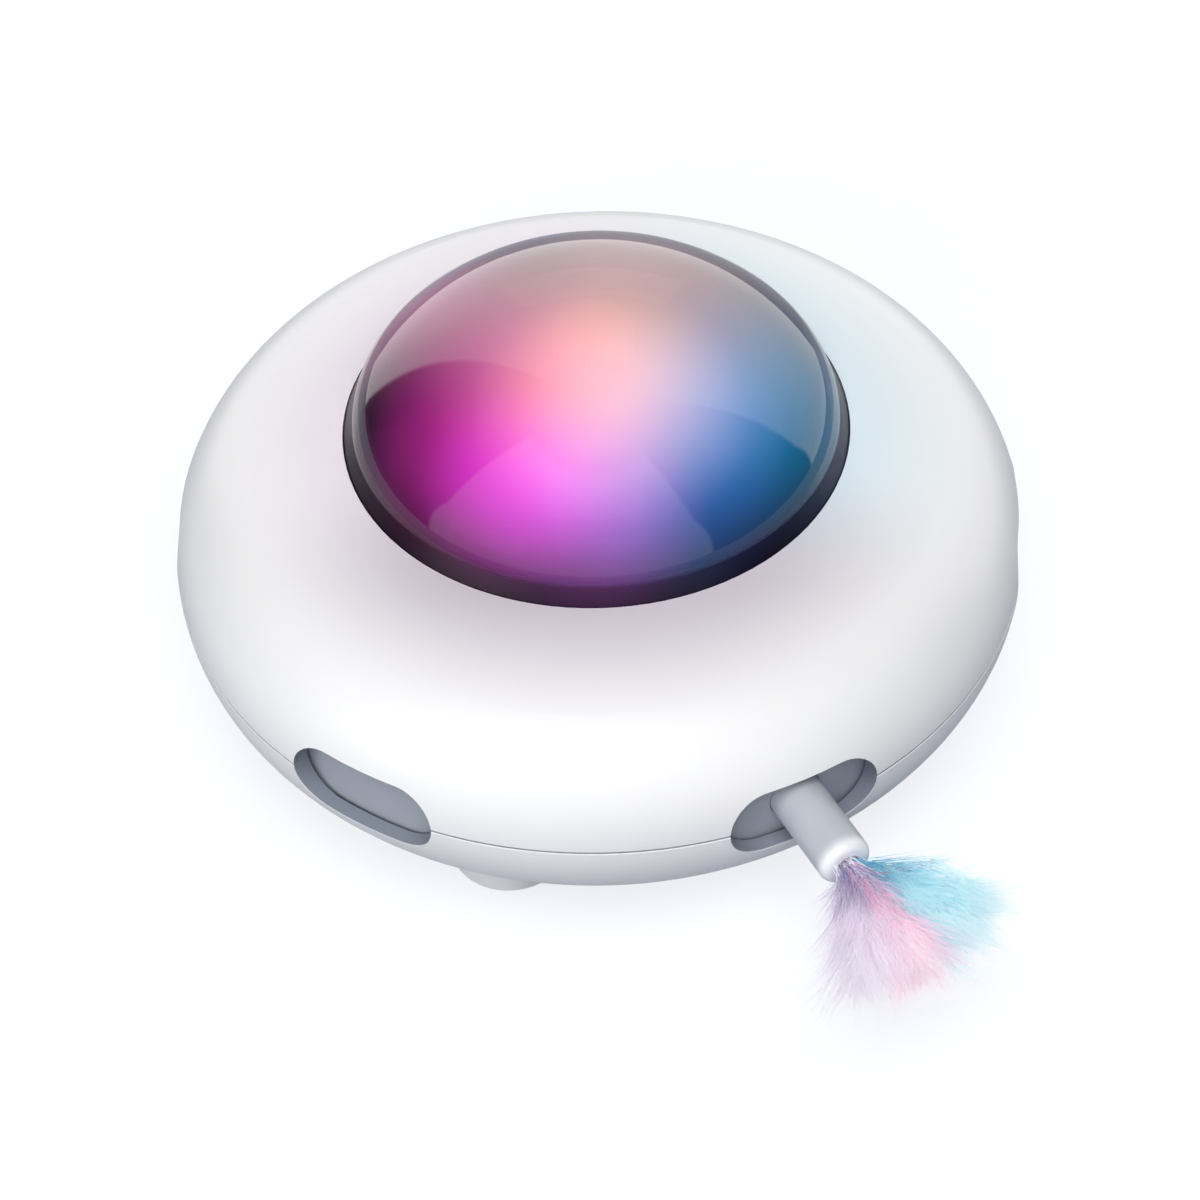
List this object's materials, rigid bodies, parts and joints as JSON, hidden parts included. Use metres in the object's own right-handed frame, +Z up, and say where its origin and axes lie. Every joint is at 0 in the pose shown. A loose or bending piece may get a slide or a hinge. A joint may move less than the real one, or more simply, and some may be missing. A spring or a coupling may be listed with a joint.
{
  "type": "automatic cat laser toy",
  "caption": "Round domed cat toy: a turning drum pokes a feather rod out through slots in the housing, under a lit smoked dome with a turning laser head.",
  "frame": {"origin": "on the floor, on the upright axis of the round housing", "axes": "+Z up, -Y along the feather rod, +X to the right when looking along +Y"},
  "size_m": [0.188, 0.2461, 0.1024],
  "materials": {
    "white_shell": "glossy white",
    "smoked_plastic": "clear smoked plastic",
    "inner_plastic": "plain moulded",
    "grey_plastic": "satin grey",
    "dark_plastic": "matte black",
    "milky_plastic": "translucent milky",
    "gear_plastic": "natural nylon",
    "board": "green laminate",
    "lamp": "coloured lamp",
    "lens": "clear",
    "plume": "soft dyed plume",
    "soft_foot": "soft white",
    "motor_can": "plated",
    "brass": "turned",
    "copper": "plated copper",
    "cell_wrap": "silver wrap",
    "screw_steel": "zinc plated"
  },
  "bodies": {
    "housing": {"top_shell": "white_shell", "base_shell": "white_shell", "smoked_dome": "smoked_plastic", "light_tray": "dark_plastic", "light_board": "board", "leds": "lamp", "light_diffuser": "milky_plastic", "center_column": "inner_plastic", "foot_1": "soft_foot", "foot_2": "soft_foot", "foot_3": "soft_foot", "foot_4": "soft_foot", "laser_motor": "motor_can", "drive_motor": "motor_can", "brush_block": "dark_plastic", "main_board": "board", "charge_socket": "motor_can", "battery": "cell_wrap", "power_switch": "dark_plastic", "tray_screws": "screw_steel", "column_screws": "screw_steel", "board_screws": "screw_steel", "motor_screws": "screw_steel"},
    "rotor": {"rotor_drum": "grey_plastic", "ring_gear": "gear_plastic", "slip_ring_board": "board", "inner_slip_track": "copper", "outer_slip_track": "copper", "rod_motor": "motor_can"},
    "drive_gear": {"drive_pinion": "gear_plastic"},
    "rod": {"feather_rod": "white_shell", "rod_carriage": "gear_plastic", "feather": "plume"},
    "rod_gear": {"rod_pinion": "gear_plastic"},
    "laser": {"laser_turret": "dark_plastic", "laser_module": "brass", "laser_lens": "lens"},
    "button": {"power_button": "grey_plastic"}
  },
  "joints": [
    {"name": "turntable_spin", "type": "hinge", "parent": "housing", "child": "rotor", "pos_m": [0, 0, 0.0252], "axis": [0, 0, 1], "range_deg": [-6.5, 6.5]},
    {"name": "drive_pinion_spin", "type": "hinge", "parent": "housing", "child": "drive_gear", "pos_m": [-0.045, 0, 0.0225], "axis": [0, 0, 1], "range_deg": [-45, 45]},
    {"name": "rod_slide", "type": "slide", "parent": "rotor", "child": "rod", "axis": [0, -1, 0], "range_m": [-0.06, 0], "deforming": ["feather"]},
    {"name": "rod_pinion_spin", "type": "hinge", "parent": "rotor", "child": "rod_gear", "pos_m": [0.013, -0.021, 0.0332], "axis": [1, 0, 0], "range_deg": [-730, 10]},
    {"name": "laser_pan", "type": "hinge", "parent": "housing", "child": "laser", "pos_m": [0, 0, 0.0925], "axis": [0, 0, 1], "continuous": true},
    {"name": "power_press", "type": "slide", "parent": "housing", "child": "button", "axis": [0, 0, 1], "range_m": [0, 0.0008], "stiffness_N_per_m": 800}
  ],
  "couplings": [
    {"joint": "drive_pinion_spin", "follows": "turntable_spin", "ratio": 6},
    {"joint": "rod_pinion_spin", "follows": "rod_slide", "rad_per_m": 208.33}
  ]
}
